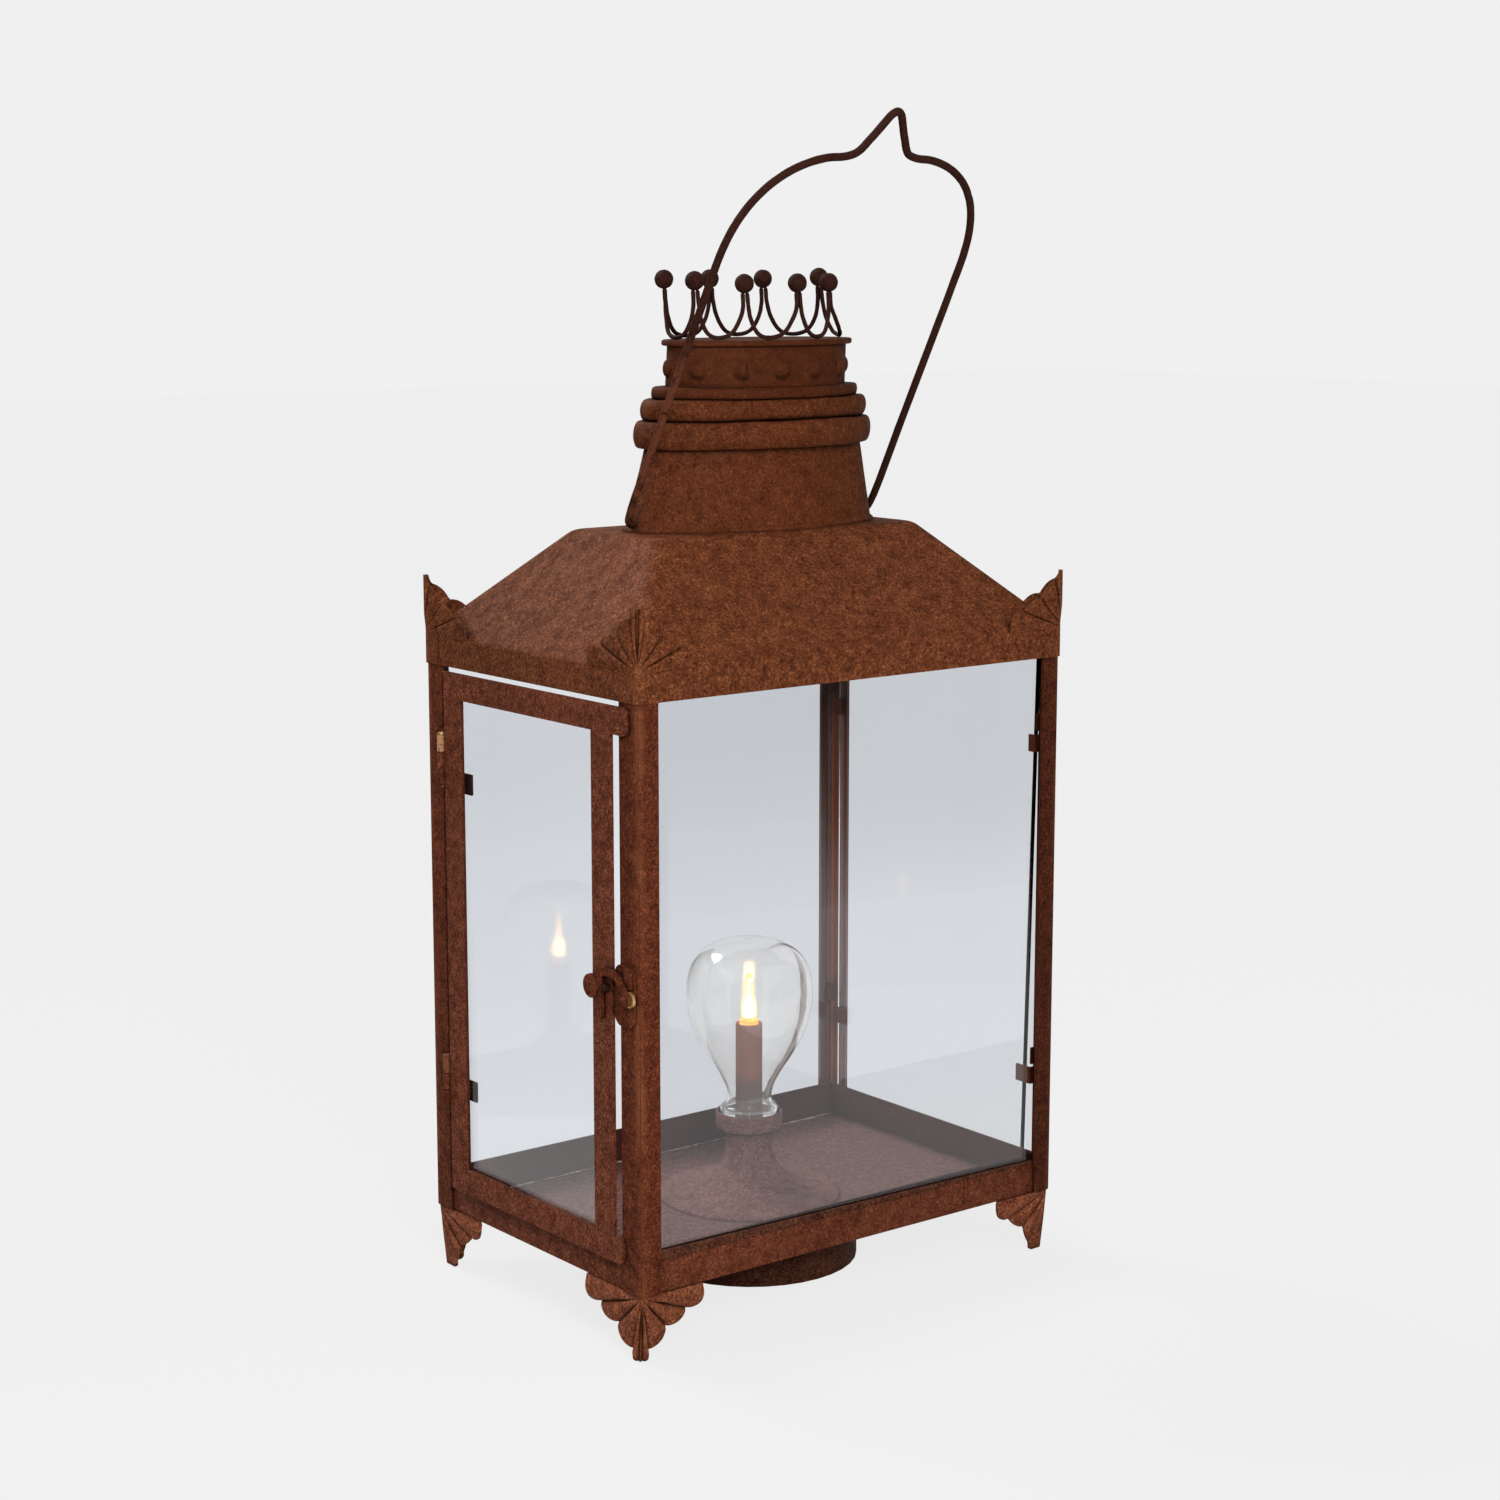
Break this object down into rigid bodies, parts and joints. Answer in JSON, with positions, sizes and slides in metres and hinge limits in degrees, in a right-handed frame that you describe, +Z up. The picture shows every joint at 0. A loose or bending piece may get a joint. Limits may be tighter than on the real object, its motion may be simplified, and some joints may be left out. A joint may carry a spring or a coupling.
{
  "type": "led lantern",
  "caption": "Rusted sheet-metal table lantern with glass sides, a hinged and latched end door, an oval chimney under a wire crown, a swinging wire bail and a battery lamp in an open glass bulb.",
  "frame": {"origin": "on the table, under the middle of the glazed box, level with the feet's tips", "axes": "+Z up, +X towards the fixed glass end, -X is the door end, -Y is the long glass side that faces the viewer"},
  "size_m": [0.1854, 0.1374, 0.3942],
  "materials": {
    "rusted_sheet": "thin steel sheet under an even matt rust-brown patina",
    "rusted_wire": "steel wire and balls, darker rust brown",
    "dark_sheet": "blackened steel sheet",
    "pane_glass": "clear flat glass",
    "bulb_glass": "clear blown glass",
    "worn_brass": "worn and tarnished",
    "black_plastic": "moulded",
    "cell_jacket": "plain printed-free cell jacket",
    "nickel_contact": "nickel-plated spring sheet",
    "led_amber": "warm flame-shaped emitter, lit"
  },
  "bodies": {
    "lantern": {"tray": "rusted_sheet", "post_front_left": "rusted_sheet", "post_back_left": "rusted_sheet", "post_front_right": "rusted_sheet", "post_back_right": "rusted_sheet", "foot_front_left": "rusted_sheet", "foot_back_left": "rusted_sheet", "foot_front_right": "rusted_sheet", "foot_back_right": "rusted_sheet", "eave_ornament_front_left": "rusted_sheet", "eave_ornament_back_left": "rusted_sheet", "eave_ornament_front_right": "rusted_sheet", "eave_ornament_back_right": "rusted_sheet", "roof": "rusted_sheet", "neck": "rusted_sheet", "ring_large": "rusted_sheet", "ring_middle": "rusted_sheet", "collar": "rusted_sheet", "crown_plate": "rusted_sheet", "crown_loop_1": "rusted_wire", "crown_loop_2": "rusted_wire", "crown_loop_3": "rusted_wire", "crown_loop_4": "rusted_wire", "crown_loop_5": "rusted_wire", "crown_loop_6": "rusted_wire", "crown_loop_7": "rusted_wire", "crown_loop_8": "rusted_wire", "crown_ball_1": "rusted_wire", "crown_ball_2": "rusted_wire", "crown_ball_3": "rusted_wire", "crown_ball_4": "rusted_wire", "crown_ball_5": "rusted_wire", "crown_ball_6": "rusted_wire", "crown_ball_7": "rusted_wire", "crown_ball_8": "rusted_wire", "pane_front": "pane_glass", "pane_back": "pane_glass", "pane_right": "pane_glass", "hinge_pin_lower": "worn_brass", "hinge_pin_upper": "worn_brass", "latch_plate": "rusted_sheet", "latch_rivet": "worn_brass", "battery_housing": "dark_sheet", "battery_cover": "dark_sheet", "battery_holder": "black_plastic", "battery_1": "cell_jacket", "battery_2": "cell_jacket", "battery_3": "cell_jacket", "contacts_left": "nickel_contact", "contacts_right": "nickel_contact", "lamp_foot": "rusted_sheet", "candle_tube": "rusted_sheet", "led": "led_amber", "glass_bulb": "bulb_glass"},
    "door": {"door_frame": "rusted_sheet", "door_pane": "pane_glass", "door_stud": "rusted_sheet"},
    "latch_hook": {"latch_hook": "rusted_sheet"},
    "bail": {"bail_handle": "rusted_wire"},
    "switch_slider": {"switch_slider": "black_plastic"}
  },
  "joints": [
    {"name": "door_hinge", "type": "hinge", "parent": "lantern", "child": "door", "pos_m": [-0.0916, 0.0495, 0.1247], "axis": [0, 0, -1], "range_deg": [0, 170]},
    {"name": "latch_pivot", "type": "hinge", "parent": "lantern", "child": "latch_hook", "pos_m": [-0.0926, -0.0575, 0.1192], "axis": [1, 0, 0], "range_deg": [0, 105]},
    {"name": "bail_pivot", "type": "hinge", "parent": "lantern", "child": "bail", "pos_m": [0.00233, 0, 0.2614], "axis": [1, 0, 0], "range_deg": [-117.4, 58.6]},
    {"name": "switch_slide", "type": "slide", "parent": "lantern", "child": "switch_slider", "axis": [1, 0, 0], "range_m": [0, 0.003]}
  ]
}
